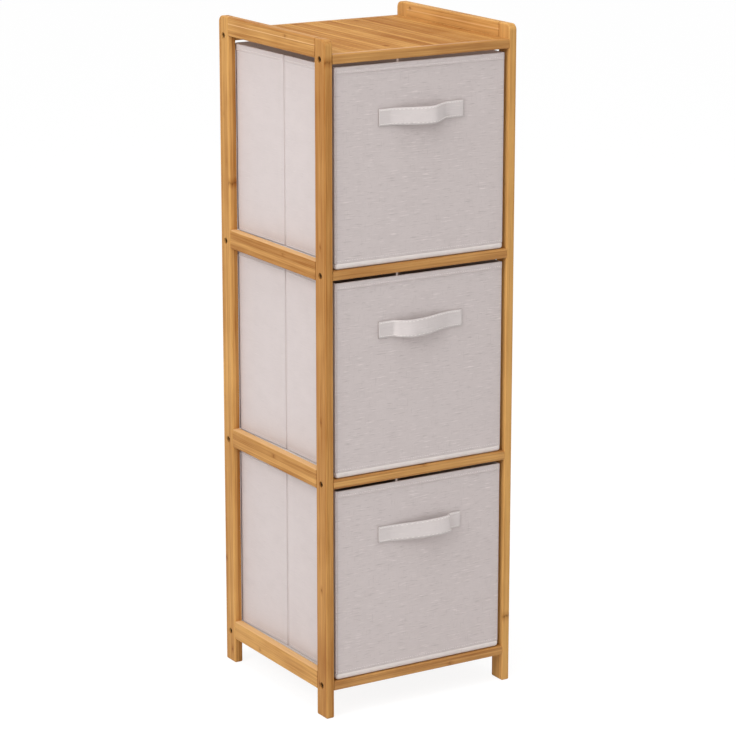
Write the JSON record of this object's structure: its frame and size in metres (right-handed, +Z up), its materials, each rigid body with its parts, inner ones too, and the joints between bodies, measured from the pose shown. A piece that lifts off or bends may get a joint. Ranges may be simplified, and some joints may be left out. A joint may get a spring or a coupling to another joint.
{
  "type": "bathroom shelf",
  "caption": "Tall narrow bamboo shelf tower with an open tray on top and foldable fabric storage boxes with strap handles that pull out from its bays.",
  "frame": {"origin": "on the floor, under the middle of the tower's outline with the strap handles included", "axes": "+Z up, +X to the right and -Y to the front as seen by someone facing the boxes"},
  "size_m": [0.34, 0.338, 1.058],
  "materials": {
    "bamboo": "satin lacquered bamboo, fine grain",
    "dowel_wood": "plain turned wood",
    "screw_steel": "bronzed steel",
    "box_fabric": "linen-look weave over board",
    "strap_fabric": "folded and sewn linen-look webbing"
  },
  "bodies": {
    "frame": {"post_left_front": "bamboo", "post_left_rear": "bamboo", "post_right_front": "bamboo", "post_right_rear": "bamboo", "side_rail_left_bottom": "bamboo", "side_rail_left_lower": "bamboo", "side_rail_left_upper": "bamboo", "side_rail_left_top": "bamboo", "side_rail_right_bottom": "bamboo", "side_rail_right_lower": "bamboo", "side_rail_right_upper": "bamboo", "side_rail_right_top": "bamboo", "front_rail_bottom": "bamboo", "rear_rail_bottom": "bamboo", "front_rail_lower": "bamboo", "rear_rail_lower": "bamboo", "front_rail_upper": "bamboo", "rear_rail_upper": "bamboo", "front_rail_top": "bamboo", "rear_rail_top": "bamboo", "shelf_panel_bottom": "bamboo", "shelf_panel_lower": "bamboo", "shelf_panel_upper": "bamboo", "shelf_panel_top": "bamboo", "frame_screws": "screw_steel", "side_frame_dowels": "dowel_wood"},
    "box_upper": {"box_upper_base": "box_fabric", "box_upper_back_panel": "box_fabric"},
    "box_upper_front": {"box_upper_front_panel": "box_fabric", "box_upper_strap": "strap_fabric"},
    "box_upper_left_rear": {"box_upper_left_rear_leaf": "box_fabric"},
    "box_upper_left_front": {"box_upper_left_front_leaf": "box_fabric"},
    "box_upper_right_rear": {"box_upper_right_rear_leaf": "box_fabric"},
    "box_upper_right_front": {"box_upper_right_front_leaf": "box_fabric"},
    "box_lower": {"box_lower_base": "box_fabric", "box_lower_back_panel": "box_fabric"},
    "box_lower_front": {"box_lower_front_panel": "box_fabric", "box_lower_strap": "strap_fabric"},
    "box_lower_left_rear": {"box_lower_left_rear_leaf": "box_fabric"},
    "box_lower_left_front": {"box_lower_left_front_leaf": "box_fabric"},
    "box_lower_right_rear": {"box_lower_right_rear_leaf": "box_fabric"},
    "box_lower_right_front": {"box_lower_right_front_leaf": "box_fabric"},
    "box_bottom": {"box_bottom_base": "box_fabric", "box_bottom_back_panel": "box_fabric"},
    "box_bottom_front": {"box_bottom_front_panel": "box_fabric", "box_bottom_strap": "strap_fabric"},
    "box_bottom_left_rear": {"box_bottom_left_rear_leaf": "box_fabric"},
    "box_bottom_left_front": {"box_bottom_left_front_leaf": "box_fabric"},
    "box_bottom_right_rear": {"box_bottom_right_rear_leaf": "box_fabric"},
    "box_bottom_right_front": {"box_bottom_right_front_leaf": "box_fabric"}
  },
  "joints": [
    {"name": "box_upper_slide", "type": "slide", "parent": "frame", "child": "box_upper", "axis": [0, -1, 0], "range_m": [0, 0.29]},
    {"name": "box_upper_fold", "type": "hinge", "parent": "box_upper", "child": "box_upper_left_rear", "pos_m": [-0.1465, 0.1481, 0.863], "axis": [0, 0, -1], "range_deg": [-88, 0]},
    {"name": "box_upper_left_crease", "type": "hinge", "parent": "box_upper_left_rear", "child": "box_upper_left_front", "pos_m": [-0.1507, 0, 0.863], "axis": [0, 0, -1], "range_deg": [0, 176]},
    {"name": "box_upper_front_corner", "type": "hinge", "parent": "box_upper_left_front", "child": "box_upper_front", "pos_m": [-0.1465, -0.1481, 0.863], "axis": [0, 0, -1], "range_deg": [-88, 0]},
    {"name": "box_upper_right_corner", "type": "hinge", "parent": "box_upper", "child": "box_upper_right_rear", "pos_m": [0.1465, 0.1481, 0.863], "axis": [0, 0, -1], "range_deg": [0, 88]},
    {"name": "box_upper_right_crease", "type": "hinge", "parent": "box_upper_right_rear", "child": "box_upper_right_front", "pos_m": [0.1507, 0, 0.863], "axis": [0, 0, -1], "range_deg": [-176, 0]},
    {"name": "box_lower_slide", "type": "slide", "parent": "frame", "child": "box_lower", "axis": [0, -1, 0], "range_m": [0, 0.29]},
    {"name": "box_lower_fold", "type": "hinge", "parent": "box_lower", "child": "box_lower_left_rear", "pos_m": [-0.1465, 0.1481, 0.5375], "axis": [0, 0, -1], "range_deg": [-88, 0]},
    {"name": "box_lower_left_crease", "type": "hinge", "parent": "box_lower_left_rear", "child": "box_lower_left_front", "pos_m": [-0.1507, 0, 0.5375], "axis": [0, 0, -1], "range_deg": [0, 176]},
    {"name": "box_lower_front_corner", "type": "hinge", "parent": "box_lower_left_front", "child": "box_lower_front", "pos_m": [-0.1465, -0.1481, 0.5375], "axis": [0, 0, -1], "range_deg": [-88, 0]},
    {"name": "box_lower_right_corner", "type": "hinge", "parent": "box_lower", "child": "box_lower_right_rear", "pos_m": [0.1465, 0.1481, 0.5375], "axis": [0, 0, -1], "range_deg": [0, 88]},
    {"name": "box_lower_right_crease", "type": "hinge", "parent": "box_lower_right_rear", "child": "box_lower_right_front", "pos_m": [0.1507, 0, 0.5375], "axis": [0, 0, -1], "range_deg": [-176, 0]},
    {"name": "box_bottom_slide", "type": "slide", "parent": "frame", "child": "box_bottom", "axis": [0, -1, 0], "range_m": [0, 0.29]},
    {"name": "box_bottom_fold", "type": "hinge", "parent": "box_bottom", "child": "box_bottom_left_rear", "pos_m": [-0.1465, 0.1481, 0.212], "axis": [0, 0, -1], "range_deg": [-88, 0]},
    {"name": "box_bottom_left_crease", "type": "hinge", "parent": "box_bottom_left_rear", "child": "box_bottom_left_front", "pos_m": [-0.1507, 0, 0.212], "axis": [0, 0, -1], "range_deg": [0, 176]},
    {"name": "box_bottom_front_corner", "type": "hinge", "parent": "box_bottom_left_front", "child": "box_bottom_front", "pos_m": [-0.1465, -0.1481, 0.212], "axis": [0, 0, -1], "range_deg": [-88, 0]},
    {"name": "box_bottom_right_corner", "type": "hinge", "parent": "box_bottom", "child": "box_bottom_right_rear", "pos_m": [0.1465, 0.1481, 0.212], "axis": [0, 0, -1], "range_deg": [0, 88]},
    {"name": "box_bottom_right_crease", "type": "hinge", "parent": "box_bottom_right_rear", "child": "box_bottom_right_front", "pos_m": [0.1507, 0, 0.212], "axis": [0, 0, -1], "range_deg": [-176, 0]}
  ],
  "couplings": [
    {"joint": "box_upper_left_crease", "follows": "box_upper_fold", "ratio": -2},
    {"joint": "box_upper_front_corner", "follows": "box_upper_fold", "ratio": 1},
    {"joint": "box_upper_right_corner", "follows": "box_upper_fold", "ratio": -1},
    {"joint": "box_upper_right_crease", "follows": "box_upper_fold", "ratio": 2},
    {"joint": "box_lower_left_crease", "follows": "box_lower_fold", "ratio": -2},
    {"joint": "box_lower_front_corner", "follows": "box_lower_fold", "ratio": 1},
    {"joint": "box_lower_right_corner", "follows": "box_lower_fold", "ratio": -1},
    {"joint": "box_lower_right_crease", "follows": "box_lower_fold", "ratio": 2},
    {"joint": "box_bottom_left_crease", "follows": "box_bottom_fold", "ratio": -2},
    {"joint": "box_bottom_front_corner", "follows": "box_bottom_fold", "ratio": 1},
    {"joint": "box_bottom_right_corner", "follows": "box_bottom_fold", "ratio": -1},
    {"joint": "box_bottom_right_crease", "follows": "box_bottom_fold", "ratio": 2}
  ]
}
